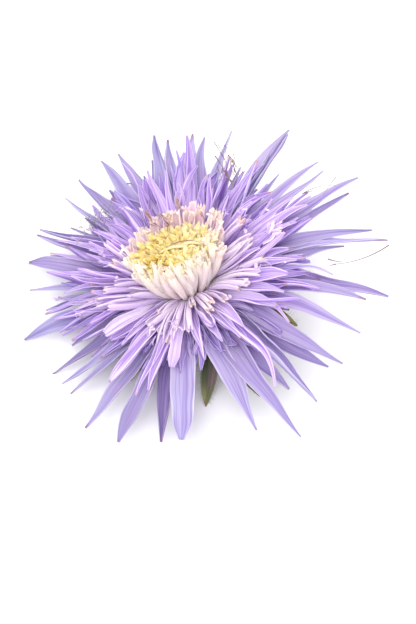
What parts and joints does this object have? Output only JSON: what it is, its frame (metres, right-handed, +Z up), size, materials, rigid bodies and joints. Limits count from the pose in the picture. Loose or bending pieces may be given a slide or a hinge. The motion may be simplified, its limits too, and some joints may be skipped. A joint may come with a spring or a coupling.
{
  "type": "china aster flower head",
  "caption": "Picked quilled aster bloom: long lilac ray florets round a standing cream brush with a yellow eye, on leafy green bracts and a short stem stub.",
  "frame": {"origin": "on the surface that the bloom rests on, below the middle of its outline", "axes": "+Z up, -Y towards the drooping front rays, -X the side that the bloom leans to"},
  "size_m": [0.0966, 0.0964, 0.0345],
  "materials": {
    "stem": "satin, ribbed and bristly green stem",
    "bract": "matte green leaf, brown at the tips",
    "ray": "soft satin petal, lilac with pale rims and fine veins",
    "cream": "soft satin petal, cream white",
    "disc": "matte floret, lemon yellow"
  },
  "bodies": {
    "root": {"stem": "stem", "involucre": "bract", "ray_florets": "ray", "cream_florets": "cream", "disc_florets": "disc"}
  },
  "joints": []
}
